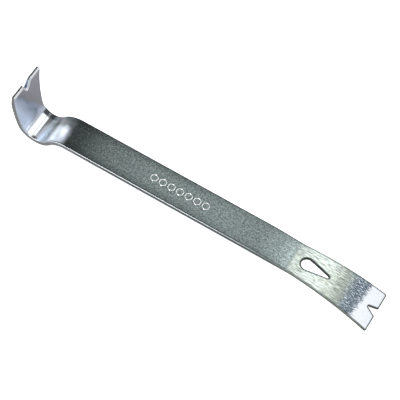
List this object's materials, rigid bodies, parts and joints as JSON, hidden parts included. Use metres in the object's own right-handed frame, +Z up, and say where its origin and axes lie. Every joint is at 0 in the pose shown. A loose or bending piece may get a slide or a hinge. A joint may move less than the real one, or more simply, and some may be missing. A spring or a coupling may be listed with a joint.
{
  "type": "hive tool",
  "caption": "Flat steel hive tool with an upturned, notched claw at one end and a swept, notched chisel blade with a nail slot at the other.",
  "frame": {"origin": "centre of the footprint's bounding box, on the surface that the tool rests on", "axes": "+X from the claw to the blade, +Y across the bar, +Z up out of the shank's marked top face"},
  "size_m": [0.2158, 0.0246, 0.0357],
  "materials": {
    "steel": "tumbled grey shank, lengthwise ground blade and polished claw, clear lacquer"
  },
  "bodies": {
    "root": {"bar": "steel"}
  },
  "joints": []
}
